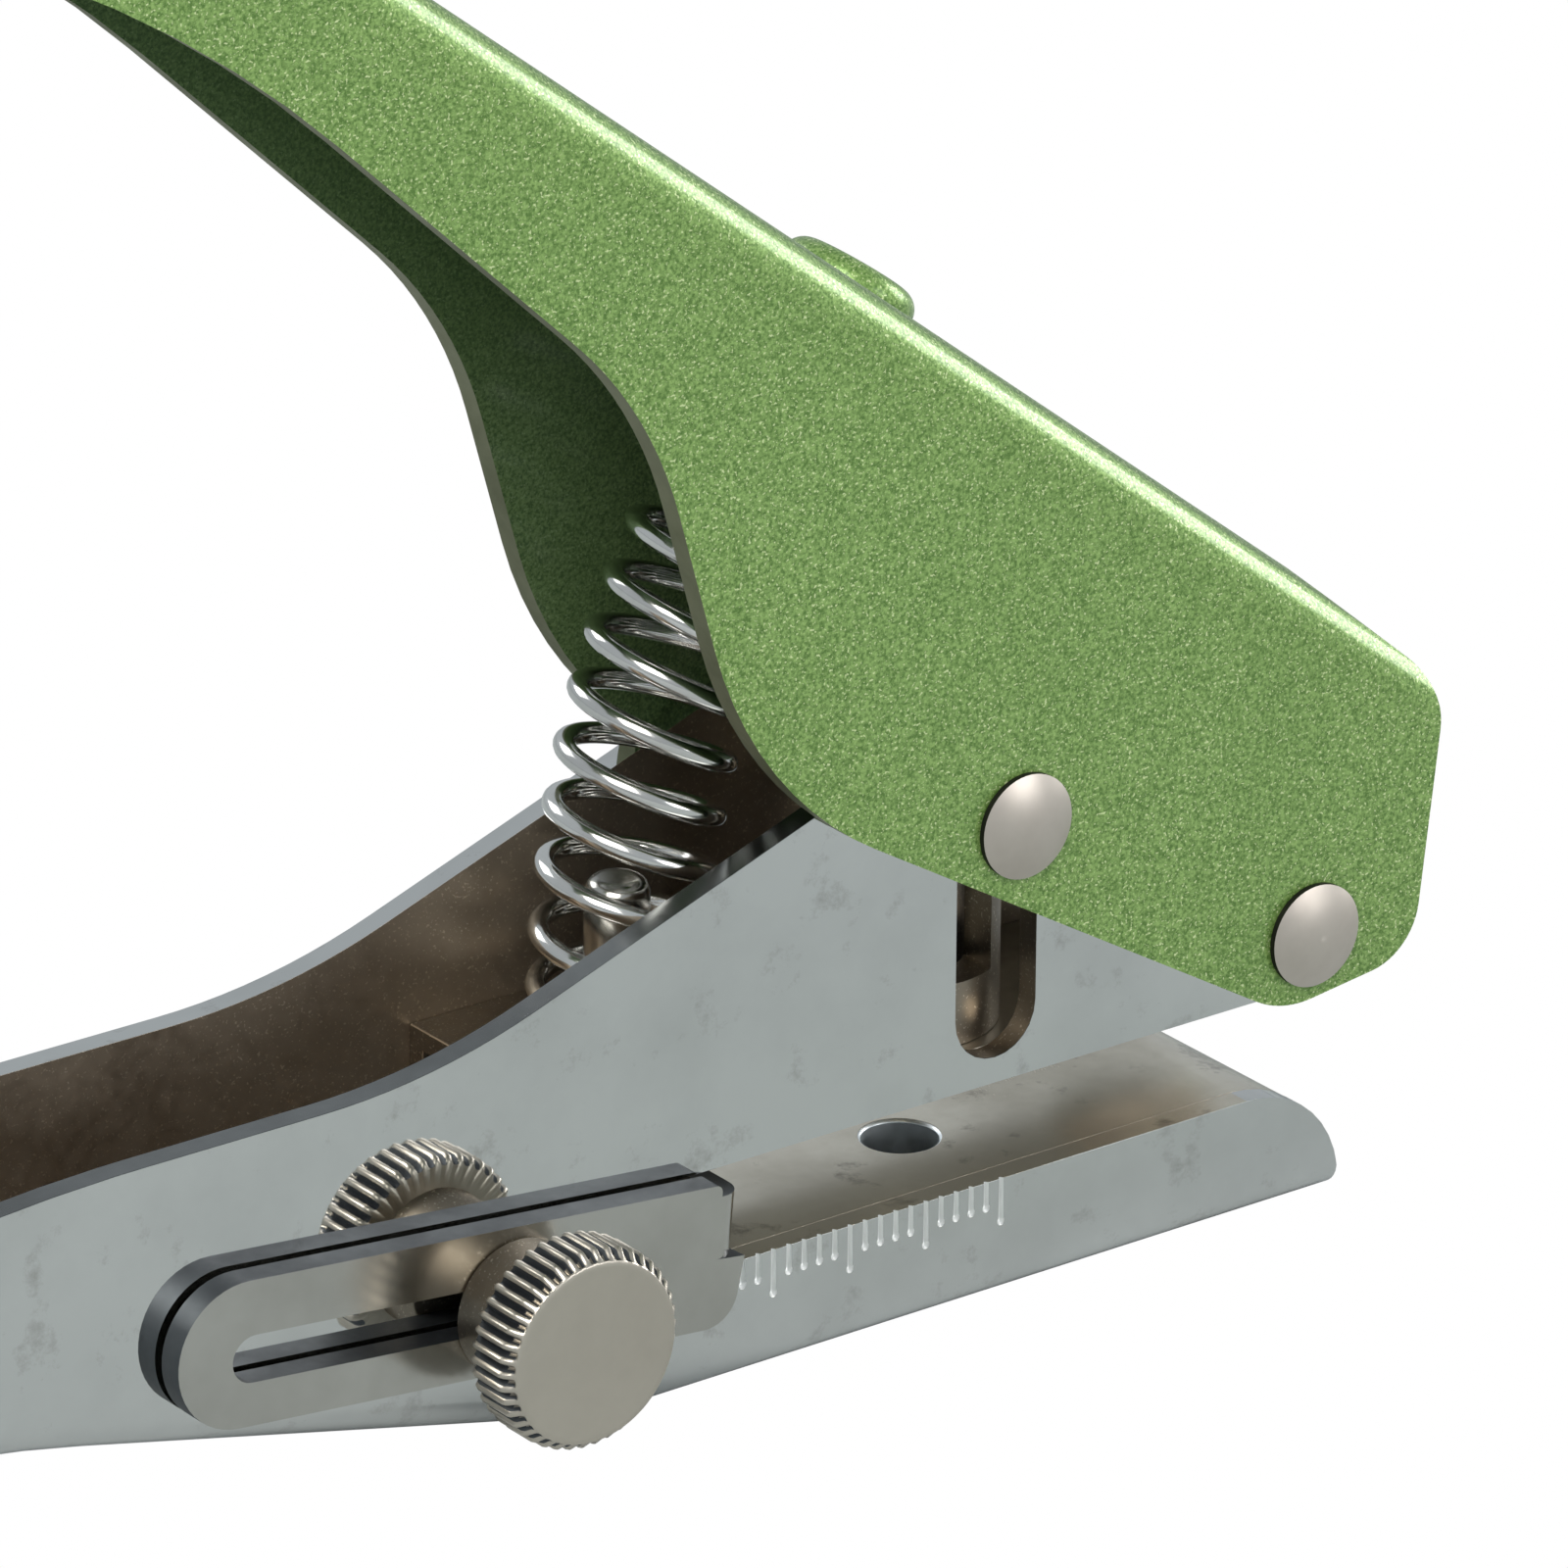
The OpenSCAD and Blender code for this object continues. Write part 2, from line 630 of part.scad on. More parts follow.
// centre of the wire at step i
function wire_c(i) =
    let (t = along_line(i), p = line_p(t), d = line_d(t), a = 360 * i / coil_steps)
    let (r = (coil_d - wire_d) / 2)
    [p[0] + r * cos(a) * d[1], r * sin(a), p[1] - r * cos(a) * d[0]];
function wire_ring(i) =
    let (c = wire_c(i), f = unit(wire_c(min(i + 1, rings)) - wire_c(max(i - 1, 0))))
    let (p = line_p(along_line(i)), o = unit(c - [p[0], 0, p[1]]), q = cross(f, o))
    [for (j = [0:wire_sides - 1]) let (b = 360 * j / wire_sides)
        c + wire_d / 2 * (cos(b) * unit(cross(q, f)) + sin(b) * q)];

module spring() {
    pts = [for (i = [0:rings]) each wire_ring(i)];
    n = wire_sides;
    sides = [for (i = [0:rings - 1], j = [0:n - 1])
        let (a = i * n + j, b = i * n + (j + 1) % n) each [[a, b, b + n], [a, b + n, a + n]]];
    caps = [for (j = [1:n - 2]) each [[0, j + 1, j], [rings * n, rings * n + j, rings * n + j + 1]]];
    color([0.45, 0.43, 0.4]) at_jaw() polyhedron(points = pts, faces = concat(sides, caps));
}
coil_gap = min([for (i = [0:rings - coil_steps], j = [coil_steps - 2:min(coil_steps + 2, rings - i)])
    norm(wire_c(i + j) - wire_c(i))]) - wire_d;
echo(coil_gap = coil_gap, swing = swing, creep = creep, mid_shift = mid_shift,
    drive_lift = drive_lift, grip_end_x = grip_end_x, handle_end_x = handle_end_x);

// frame of the guide plate: origin on the screw axis, X along the slot toward the nose
module at_plate() {
    at_jaw() translate([-screw_x, 0, screw_z]) rotate([0, plate_slope, 0]) children();
}

module guide_plate() {
    half = plate_w / 2;
    low = stop_low - screw_z + stop_drop;
    bite = plate_front - stop_bend;
    color([0.72, 0.7, 0.66]) at_plate() union() {
        difference() {
            side(-plate_y - plate_t, -plate_y) polygon(concat(
                arc([-plate_back, plate_shift], half, 90, 270, 24),
                rounded_open([[-plate_back, plate_shift - half, 0],
                    [plate_front, plate_shift - half, stop_bend],
                    [plate_front, low, 0], [bite, low, 0],
                    [bite, plate_shift + half, ease], [-plate_back, plate_shift + half, 0]])));
            slot_y(-slot_back, slot_front, 0, guide_slot_w, -plate_y - plate_t - over, over - plate_y);
        }
        translate([0, 0, low]) linear_extrude(stop_high - stop_low) stop_plan(bite);
    }
}

// the bent paper stop seen from above, from the plate at x round into the throat
module stop_plan(x) {
    out = -plate_y - plate_t;
    mid = [x, out + stop_bend];
    polygon(concat([[x - ease, -plate_y], [x - ease, out]],
        arc(mid, stop_bend, -90, 0),
        [[plate_front, out + stop_y], [plate_front - plate_t, out + stop_y]],
        arc(mid, stop_bend - plate_t, 0, -90)));
}

module thumb_screw() {
    out = body_half + knob_reach;
    under = out - knob_l;
    seat = plate_y + plate_t + fit;
    tail = body_in - nut_t - 1.5 * over;
    core = [[0, -out + knurl_deep, 0], [knob_d / 2 - 4 * ease, -out + knurl_deep, 0],
        [knob_d / 2 - 4 * ease, -under, 0],
        [shoulder_d / 2, -under, 0], [shoulder_d / 2, -seat, ease / 2], [shank_d / 2, -seat, 0],
        [shank_d / 2, -tail, ease], [0, -tail, 0]];
    rim = [[0, -out, 0], [knob_d / 2 - 2 * ease, -out, 0], [knob_d / 2, -out + ease, 0],
        [knob_d / 2, -under - ease, 0], [knob_d / 2 - ease, -under, 0], [0, -under, 0]];
    color([0.68, 0.66, 0.62]) at_jaw() translate([-screw_x, 0, screw_z]) union() {
        rotate([90, 0, 0]) mirror([0, 0, 1]) rotate_extrude() polygon(rounded(core));
        intersection() {
            rotate([90, 0, 0]) mirror([0, 0, 1]) rotate_extrude() polygon(rounded(rim));
            side(-out - over, -under + over) polygon([for (i = [0:2 * knurls - 1])
                (knob_d / 2 + (i % 2 == 0 ? over / 10 : -knurl_deep))
                    * [cos(180 * i / knurls), sin(180 * i / knurls)]]);
        }
    }
}

module clamp_nut() {
    face = seam - body_in;
    color([0.5, 0.47, 0.42]) at_jaw() difference() {
        translate([-screw_x - nut_w / 2, face, screw_z - nut_w / 2]) cube([nut_w, nut_t, nut_w]);
        bar(-screw_x, screw_z, shank_d + 2 * fit, face - over, face + nut_t + over);
    }
}

body_shell();
die_plate();
jaw_plate();
guide_sleeve();
spring_bridge();
spring_post();
clamp_nut();
pivot_rivet();
handle_shell();
drive_rivet();
spring_stud();
punch();
spring();
guide_plate();
thumb_screw();
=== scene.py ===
import math

import bmesh
import bpy
from mathutils import Matrix, Vector

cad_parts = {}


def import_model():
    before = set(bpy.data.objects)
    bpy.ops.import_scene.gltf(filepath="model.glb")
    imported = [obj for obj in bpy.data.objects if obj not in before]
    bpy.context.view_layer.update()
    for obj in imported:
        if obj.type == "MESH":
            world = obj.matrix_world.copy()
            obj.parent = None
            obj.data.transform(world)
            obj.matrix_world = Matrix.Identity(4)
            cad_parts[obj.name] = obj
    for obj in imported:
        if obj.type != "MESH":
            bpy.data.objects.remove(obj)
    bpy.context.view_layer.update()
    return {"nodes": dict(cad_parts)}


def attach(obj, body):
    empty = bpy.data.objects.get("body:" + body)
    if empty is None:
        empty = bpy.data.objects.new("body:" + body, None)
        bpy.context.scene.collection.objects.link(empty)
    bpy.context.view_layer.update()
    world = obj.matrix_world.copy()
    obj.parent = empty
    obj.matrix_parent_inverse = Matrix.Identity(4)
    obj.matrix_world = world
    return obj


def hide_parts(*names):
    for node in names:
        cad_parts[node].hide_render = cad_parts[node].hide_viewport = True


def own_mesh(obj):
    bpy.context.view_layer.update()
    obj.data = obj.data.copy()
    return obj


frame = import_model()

MM = 0.001

# places and sizes in mm; the jaw frame starts on the punch axis at the top of the lower jaw
JAW = Vector((12.0, 0.0, 7.0))
SHEET = 1.4
SEAM = 0.03
BODY_HALF = 7.43
BODY_IN = BODY_HALF - SHEET
HANDLE_IN = BODY_HALF + 0.37
HANDLE_HALF = HANDLE_IN + SHEET
DIE_HOLE_R = 2.1
PIN_SLOT_W = 5.3
PIN_SLOT_LOW = 9.8
PIN_SLOT_HIGH = 21.4

# top of the handle: its height on the punch axis and its slope
HANDLE_TOP = 45.5
HANDLE_SLOPE = math.radians(37.78)

# side view corners of the handle's foot, as x and z, and the radii of the middle two
BELLY = Vector((-16.7, 26.6))
SOLE = Vector((18.5, 5.65))
TOE = Vector((27.5, 6.8))
NOSE = Vector((29.3, 21.9))
SOLE_R = 6.0
TOE_R = 3.6

# ruler on the near wall of the jaw: front tick, number and depth of ticks, groove widths
RULER_FRONT = 1.06
TICKS = 18
LONG_TICK = 2.47
SHORT_TICK = 1.46
TICK_HALF = 0.16
TICK_BULB = 0.27
TICK_DEPTH = 0.19

# return spring: seat and crown, wire, outside, turns, the pull of its centre line, and the
# lean of its free turns and of its top turn in degrees
SEAT = Vector((-18.6, 11.6))
CROWN_X = 4.2
CROWN_DROP = 1.0
WIRE_D = 1.15
COIL_D = 9.6
TURNS = 13
END_PITCH = 1.85
FOOT_PULL = 42.0
CROWN_PULL = 38.0
FREE_LEAN = 14
TOP_LEAN = -11.5

# guide plate and its thumb screw
SCREW = Vector((-31.75, 0.0, 2.53))
PLATE_SLOPE = math.radians(5.4)
PLATE_GAP = 0.3
PLATE_T = 1.5
PLATE_OUT = BODY_HALF + PLATE_GAP + PLATE_T
PLATE_FRONT = 14.4
STOP_LOW = 1.5
STOP_BEND = 2.0
STOP_TIGHT = 1.55
KNOB_FACE = BODY_HALF + 8.82
KNOB_BACK = KNOB_FACE - 3.4
KNOB_R = 5.52
RIDGES = 42
RIDGE_DEPTH = 0.5
HUB_R = 3.7
SHANK_R = 1.2
SHANK_END = 1.95

# rounding of the edges that are plated
PLATED_EASE = 0.24


def jaw(x, y, z):
    """Point of the jaw frame, given in mm, in the row frame in metres."""
    return (JAW + Vector((x, y, z))) * MM


# materials

def tree(name):
    """Empty node tree with one shader linked to its output."""
    m = bpy.data.materials.new(name)
    m.use_nodes = True
    nt = m.node_tree
    nt.nodes.clear()
    out = nt.nodes.new("ShaderNodeOutputMaterial")
    bsdf = nt.nodes.new("ShaderNodeBsdfPrincipled")
    nt.links.new(bsdf.outputs[0], out.inputs[0])
    return m, nt, bsdf


def coords(nt, stretch=(1, 1, 1)):
    tc = nt.nodes.new("ShaderNodeTexCoord")
    mp = nt.nodes.new("ShaderNodeMapping")
    mp.inputs["Scale"].default_value = stretch
    nt.links.new(tc.outputs["Object"], mp.inputs[0])
    return mp.outputs[0]


def noise(nt, at, scale, detail=3.0, rough=0.5):
    """Noise with scale in features per metre."""
    n = nt.nodes.new("ShaderNodeTexNoise")
    n.inputs["Scale"].default_value = scale
    n.inputs["Detail"].default_value = detail
    n.inputs["Roughness"].default_value = rough
    nt.links.new(at, n.inputs["Vector"])
    return n.outputs["Fac"]


def ranged(nt, fac, a, b, lo, hi):
    """Value that goes from lo to hi while fac goes from a to b."""
    r = nt.nodes.new("ShaderNodeMapRange")
    r.inputs["From Min"].default_value = a
    r.inputs["From Max"].default_value = b
    r.inputs["To Min"].default_value = lo
    r.inputs["To Max"].default_value = hi
    nt.links.new(fac, r.inputs["Value"])
    return r.outputs["Result"]


def mixed(nt, fac, a, b):
    """Colour between a and b, each a tuple or a socket."""
    m = nt.nodes.new("ShaderNodeMix")
    m.data_type = "RGBA"
    for socket, value in ((m.inputs[6], a), (m.inputs[7], b)):
        if isinstance(value, tuple):
            socket.default_value = (*value, 1)
        else:
            nt.links.new(value, socket)
    nt.links.new(fac, m.inputs[0])
    return m.outputs[2]


def added(nt, a, b):
    m = nt.nodes.new("ShaderNodeMath")
    m.operation = "ADD"
    nt.links.new(a, m.inputs[0])
    nt.links.new(b, m.inputs[1])
    return m.outputs[0]


def bumped(nt, height, strength, distance, under=None):
    b = nt.nodes.new("ShaderNodeBump")
    b.inputs["Strength"].default_value = strength
    b.inputs["Distance"].default_value = distance
    nt.links.new(height, b.inputs["Height"])
    if under is not None:
        nt.links.new(under, b.inputs["Normal"])
    return b.outputs[0]


def metal(name, light, dark, rough, wear=0.12, wave=0.3, brushed=(1, 1, 1), specks=None,
          stains=None, grain=0.06):
    """Bare or plated metal: smudges, slow waves, fine or brushed grain, optional specks and
    stains."""
    m, nt, bsdf = tree(name)
    at = coords(nt)
    smudge = noise(nt, at, 90, 5, 0.62)
    col = mixed(nt, ranged(nt, smudge, 0.42, 0.72, 0, 1), light, dark)
    fine = noise(nt, coords(nt, brushed), 1400, 3, 0.6)
    if specks:
        dots = noise(nt, at, 6400, 1, 0.5)
        col = mixed(nt, ranged(nt, dots, 0.64, 0.72, 0, 1), col, specks)
    if stains:
        spots = noise(nt, at, 260, 6, 0.72)
        col = mixed(nt, ranged(nt, spots, 0.57, 0.72, 0, 0.8), col, stains)
    nt.links.new(col, bsdf.inputs["Base Color"])
    bsdf.inputs["Metallic"].default_value = 1.0
    worn = ranged(nt, smudge, 0.35, 0.75, rough, rough + wear)
    nt.links.new(added(nt, worn, ranged(nt, fine, 0.3, 0.7, 0, grain)),
                 bsdf.inputs["Roughness"])
    slow = bumped(nt, noise(nt, at, 160, 2), wave, 0.03 * MM)
    nt.links.new(bumped(nt, fine, 4 * grain, 0.01 * MM, slow), bsdf.inputs["Normal"])
    return m


def paint(name, low, high, glint):
    """Metallic paint: bright flakes over a solid green, a thin clear coat and orange peel."""
    m, nt, bsdf = tree(name)
    at = coords(nt)
    flakes = noise(nt, at, 5600, 2, 0.65)
    col = mixed(nt, ranged(nt, flakes, 0.36, 0.66, 0, 1), low, high)
    sparks = noise(nt, at, 6000, 1, 0.5)
    col = mixed(nt, ranged(nt, sparks, 0.62, 0.70, 0, 0.85), col, glint)
    patches = noise(nt, at, 60, 4, 0.55)
    col = mixed(nt, ranged(nt, patches, 0.3, 0.7, 0.0, 0.12), col, low)
    nt.links.new(col, bsdf.inputs["Base Color"])
    bsdf.inputs["Metallic"].default_value = 0.45
    nt.links.new(ranged(nt, flakes, 0.3, 0.7, 0.5, 0.34), bsdf.inputs["Roughness"])
    bsdf.inputs["Coat Weight"].default_value = 0.5
    bsdf.inputs["Coat Roughness"].default_value = 0.16
    peel = bumped(nt, noise(nt, at, 900, 2), 0.12, 0.03 * MM)
    nt.links.new(bumped(nt, flakes, 0.35, 0.03 * MM, peel), bsdf.inputs["Normal"])
    return m


# plated and polished
CHROME = metal("chrome", (0.71, 0.72, 0.71), (0.63, 0.64, 0.63), rough=0.012, wear=0.03,
               wave=0.03, stains=(0.44, 0.43, 0.41), grain=0.012)
NICKEL = metal("nickel", (0.55, 0.54, 0.505), (0.44, 0.43, 0.395), rough=0.12, wear=0.14,
               wave=0.25, brushed=(1, 14, 1), grain=0.04)
KNOB = metal("knob", (0.60, 0.55, 0.475), (0.52, 0.475, 0.41), rough=0.24)
RIVET = metal("rivet", (0.62, 0.56, 0.50), (0.47, 0.42, 0.37), rough=0.34, wear=0.16,
              wave=0.12, grain=0.03)
WIRE = metal("spring_wire", (0.76, 0.76, 0.74), (0.56, 0.55, 0.53), rough=0.08, wear=0.10)

# plain steel; the bore below is painted light and the dark steel also serves as painted shade
DIE = metal("die_steel", (0.82, 0.765, 0.655), (0.62, 0.57, 0.47), rough=0.15, wave=0.05,
            brushed=(12, 1, 1), stains=(0.16, 0.13, 0.10), grain=0.03)
# painted light: the die hole's wall is a pale blue-grey, lighter than the die, as light seen
# inside the hole
BORE_PAINTED_LIGHT = metal("bore_painted_light", (0.86, 0.91, 0.93), (0.66, 0.71, 0.73), rough=0.32, wear=0.15,
             wave=0.4)
JAW_IN = metal("jaw_inside", (0.42, 0.39, 0.33), (0.26, 0.235, 0.19), rough=0.3, wear=0.2,
               wave=0.4)
# dark steel of the inner parts, also used as painted shade on the knob's neck under the knob
DARK_STEEL_AND_SHADE = metal("dark_steel", (0.30, 0.26, 0.21), (0.18, 0.15, 0.115), rough=0.3, wear=0.2,
             wave=0.6, specks=(0.60, 0.54, 0.45))
# the body's inner faces: darker and browner than the chrome outside
INNER_BROWN = metal("inner_brown", (0.46, 0.39, 0.31), (0.29, 0.24, 0.185), rough=0.36, wear=0.2,
            wave=0.6, specks=(0.66, 0.58, 0.47))

# edges and grooves
# ruler grooves: rougher from stamping, and lighter than the chrome as a painted highlight
STAMPED_AND_HIGHLIGHT = metal("stamped", (0.90, 0.91, 0.90), (0.80, 0.81, 0.80), rough=0.42, wear=0.1)
# top edges of the walls: darker than the chrome, partly a cut edge and partly a painted dark
# reflection of the handle above
WALL_TOP = metal("wall_top", (0.25, 0.26, 0.26), (0.15, 0.155, 0.155), rough=0.12, wear=0.14,
                 wave=0.4)
# painted shade: the outer rounding of the near wall's top edge is near-black, a dark line along
# the edge
BRINK = metal("wall_brink", (0.075, 0.08, 0.085), (0.04, 0.045, 0.05), rough=0.4, wear=0.16,
              wave=0.5)
# rims of the guide plate: dark, partly as a rough cut edge and partly as a painted dark reflection
PLATE_EDGE = metal("plate_edge", (0.11, 0.12, 0.13), (0.06, 0.065, 0.075), rough=0.42,
                   wear=0.14, wave=0.4)
# painted shadow: near-black on the rims of the rivet heads, as shade in the step under them
GAP = metal("gap_shadow", (0.035, 0.033, 0.03), (0.02, 0.02, 0.018), rough=0.5, wear=0.2,
            wave=0.4)
EDGE = metal("cut_edge", (0.25, 0.26, 0.165), (0.14, 0.15, 0.09), rough=0.45, wear=0.2,
             wave=0.6)

# paint outside the handle, and a darker copy of it inside as painted shade
GREEN = paint("green_paint", (0.082, 0.182, 0.026), (0.305, 0.475, 0.140), (0.72, 0.82, 0.44))
SHADED = paint("green_painted_shade", (0.06, 0.115, 0.038), (0.175, 0.27, 0.105), (0.23, 0.33, 0.16))


# meshes from the solids

def smooth(me, degrees=30):
    for p in me.polygons:
        p.use_smooth = True
    me.set_sharp_from_angle(angle=math.radians(degrees))


def modified(me, kind, **settings):
    """New mesh: the given one after a modifier with these settings."""
    ob = bpy.data.objects.new("work", me)
    bpy.context.collection.objects.link(ob)
    mod = ob.modifiers.new("work", kind)
    for name, value in settings.items():
        setattr(mod, name, value)
    bpy.context.view_layer.update()
    out = bpy.data.meshes.new_from_object(
        ob.evaluated_get(bpy.context.evaluated_depsgraph_get()))
    bpy.data.objects.remove(ob)
    return out


def carved(me, cutters):
    """The mesh with the cutters' solids taken away."""
    tool = bpy.data.objects.new("cutters", cutters)
    bpy.context.collection.objects.link(tool)
    out = modified(me, "BOOLEAN", operation="DIFFERENCE", solver="EXACT", object=tool)
    bpy.data.objects.remove(tool)
    return out


def merged(node):
    """Mesh of a CAD node with its flat faces joined."""
    me = frame["nodes"][node].data.copy()
    bm = bmesh.new()
    bm.from_mesh(me)
    bmesh.ops.remove_doubles(bm, verts=bm.verts, dist=0.001 * MM)
    bmesh.ops.dissolve_limit(bm, angle_limit=math.radians(0.4), verts=bm.verts, edges=bm.edges)
    bm.to_mesh(me)
    bm.free()
    return me


def eased(me, width):
    return modified(me, "BEVEL", width=width * MM, segments=2, limit_method="ANGLE",
                    angle_limit=math.radians(32), use_clamp_overlap=True)


def prisms(name, loops):
    """Closed mesh of the solids between pairs of equal outlines."""
    bm = bmesh.new()
    for start, end in loops:
        a = [bm.verts.new(p) for p in start]
        b = [bm.verts.new(p) for p in end]
        bm.faces.new(a)
        bm.faces.new(reversed(b))
        for k in range(len(a)):
            n = (k + 1) % len(a)
            bm.faces.new((a[n], a[k], b[k], b[n]))
    bmesh.ops.recalc_face_normals(bm, faces=bm.faces)
    me = bpy.data.meshes.new(name)
    bm.to_mesh(me)
    bm.free()
    return me


def ruler():
    """Cutters of the stamped ticks, one millimetre apart with every fifth one long: their flanks
    slant and their lower ends are round."""
    loops = []
    for i in range(TICKS):
        x = RULER_FRONT - i
        deep = SHORT_TICK if i % 5 else LONG_TICK
        edge = [(x + TICK_HALF, 0.3), (x - TICK_HALF, 0.3)]
        for k in range(9):
            a = math.radians(135 + 270 * k / 8)
            edge.append((x + TICK_BULB * math.cos(a), TICK_BULB * math.sin(a) - deep))
        outside = -BODY_HALF - SEAM
        bottom = TICK_DEPTH - BODY_HALF
        loops.append([[jaw(x + (px - x) * share, y, pz) for px, pz in edge]
                      for y, share in ((outside, 1.0), (bottom, 0.25))])
    return prisms("ruler", loops)


def foot_corners():
    """Cutters of what lies outside the round corners of the handle's foot, for both walls."""
    loops = []
    over = 0.3
    for before, at, after, r in ((BELLY, SOLE, TOE, SOLE_R), (SOLE, TOE, NOSE, TOE_R)):
        u = (at - before).normalized()
        v = (after - at).normalized()
        out_u = Vector((u.y, -u.x))
        out_v = Vector((v.y, -v.x))
        out = (out_u + out_v).normalized()
        half = u.angle(v) / 2
        reach = r * math.tan(half)
        middle = at - out * r / math.cos(half)
        a0 = math.atan2(out_u.y, out_u.x)
        edge = [at - u * reach + over * out_u]
        for k in range(13):
            a = a0 + 2 * half * k / 12
            edge.append(middle + r * Vector((math.cos(a), math.sin(a))))
        edge.append(at + v * reach + over * out_v)
        edge.append(at + out * over / math.cos(half))
        for wall in (1, -1):
            y = wall * (HANDLE_IN + SHEET / 2)
            loops.append([[jaw(q.x, y + w, q.y) for q in edge] for w in (-1.3, 1.3)])
    return prisms("foot_corners", loops)


def tighten_stop(me):
    """Pulls the bend between plate and paper stop to a tighter radius."""
    s = math.sin(PLATE_SLOPE)
    c = math.cos(PLATE_SLOPE)
    low = STOP_LOW - SCREW.z + (PLATE_FRONT - PLATE_T) * math.tan(PLATE_SLOPE)
    for v in me.vertices:
        p = v.co / MM - JAW - SCREW
        x = p.x * c - p.z * s
        z = p.x * s + p.z * c
        ahead = x - (PLATE_FRONT - STOP_BEND)
        beside = STOP_BEND - PLATE_OUT - p.y
        if z < low - 0.02 or ahead < -0.6:
            continue
        if ahead > 0.01 and beside > 0.01:
            r = math.hypot(ahead, beside)
            tight = r - STOP_BEND + STOP_TIGHT
            x = PLATE_FRONT - STOP_TIGHT + tight * ahead / r
            p.y = STOP_TIGHT - PLATE_OUT - tight * beside / r
        elif beside > 0.01:
            x += STOP_BEND - STOP_TIGHT
        p.x = x * c + z * s
        p.z = z * c - x * s
        v.co = (p + JAW + SCREW) * MM


# meshes of their own

def spring_line():
    """The coil's centre line, as in the part, and its length: a smooth curve from the lower seat
    to the handle."""
    sine = math.sin(HANDLE_SLOPE)
    cosine = math.cos(HANDLE_SLOPE)
    out = Vector((sine, cosine))
    crown = Vector((0.0, HANDLE_TOP)) + Vector((-cosine, sine)) * CROWN_X / cosine
    a = SEAT + Vector((0.0, WIRE_D / 2 + SEAM))
    b = crown - (SHEET + WIRE_D / 2 + SEAM + CROWN_DROP) * out

    def at(t):
        h = t * t * (3 - 2 * t)
        return (a * (1 - h) + b * h + Vector((0, FOOT_PULL)) * (t - 2 * t * t + t ** 3)
                + out * CROWN_PULL * (t ** 3 - t * t))

    parts = 8 * TURNS
    return at, sum((at(i / parts) - at((i + 1) / parts)).length for i in range(parts))


def spring_mesh(steps=64, sides=16):
    """The wire, wound to the left: close turns at both ends, free ones that lean forward, and a
    top turn halfway between the open and the closed slope of the handle."""
    at, length = spring_line()
    n = TURNS * steps
    pace = [0.0]
    for i in range(n):
        turn = (i + 0.5) / steps
        pace.append(pace[-1] + max(0.0, min(1.0, turn - 0.5, TURNS - 0.5 - turn)))
    share = END_PITCH * TURNS / length
    r = (COIL_D - WIRE_D) / 2

    def centre(i):
        """A point of the wire and the middle of its turn."""
        t = share * i / n + (1 - share) * pace[i] / pace[n]
        p = at(t)
        d = (at(t + 0.03) - at(t - 0.03)).normalized()
        a = 2 * math.pi * i / steps
        free = min(1.0, i / steps / 3) * (1 - t) ** 2
        top = max(0.0, (t - 0.7) / 0.3) ** 2
        lean = math.atan2(d.x, d.y) + math.radians(FREE_LEAN * free + TOP_LEAN * top)
        out = r * math.cos(a)
        spot = Vector((p.x + out * math.cos(lean), -r * math.sin(a), p.y - out * math.sin(lean)))
        return spot, Vector((p.x, 0, p.y))

    spots = [centre(i) for i in range(n + 1)]
    verts = []
    faces = []
    for i, (spot, middle) in enumerate(spots):
        ahead = (spots[min(i + 1, n)][0] - spots[max(i - 1, 0)][0]).normalized()
        side = ahead.cross((spot - middle).normalized()).normalized()
        out = side.cross(ahead).normalized()
        for j in range(sides):
            b = 2 * math.pi * j / sides
            verts.append((JAW + spot + WIRE_D / 2 * (math.cos(b) * out + math.sin(b) * side)) * MM)
        if i:
            k = (i - 1) * sides
            for j in range(sides):
                m = (j + 1) % sides
                faces.append((k + j, k + m, k + sides + m, k + sides + j))
    faces.append(tuple(reversed(range(sides))))
    faces.append(tuple(n * sides + j for j in range(sides)))
    me = bpy.data.meshes.new("spring_wire")
    me.from_pydata(verts, [], faces)
    me.update()
    smooth(me, 60)
    return me


def knob_profile():
    """Radius, reach and share of the ridges, from the middle of the face to the shank's end."""
    face = [(0.0, KNOB_FACE - 0.05, 0), (HUB_R + 0.2, KNOB_FACE - 0.05, 0),
            (KNOB_R - 0.92, KNOB_FACE, 0), (KNOB_R - 0.66, KNOB_FACE, 0)]
    edge = [(KNOB_R - 0.57, KNOB_FACE - 0.04, 0), (KNOB_R - 0.52, KNOB_FACE - 0.12, 0.1),
            (KNOB_R - 0.34, KNOB_FACE - 0.3, 0.9), (KNOB_R - 0.06, KNOB_FACE - 0.62, 1)]
    rim = [(KNOB_R, KNOB_FACE - 0.85, 1), (KNOB_R, KNOB_BACK + 0.5, 1),
           (KNOB_R - 0.1, KNOB_BACK + 0.2, 1), (KNOB_R - 0.45, KNOB_BACK, 0.2)]
    hub = [(HUB_R + 0.05, KNOB_BACK, 0), (HUB_R, KNOB_BACK - 0.1, 0), (HUB_R, PLATE_OUT + 0.17, 0),
           (HUB_R - 0.1, PLATE_OUT + 0.06, 0)]
    shank = [(SHANK_R, PLATE_OUT + 0.05, 0), (SHANK_R, SHANK_END + 0.25, 0),
             (SHANK_R - 0.2, SHANK_END, 0), (0.0, SHANK_END, 0)]
    return face + edge + rim + hub + shank


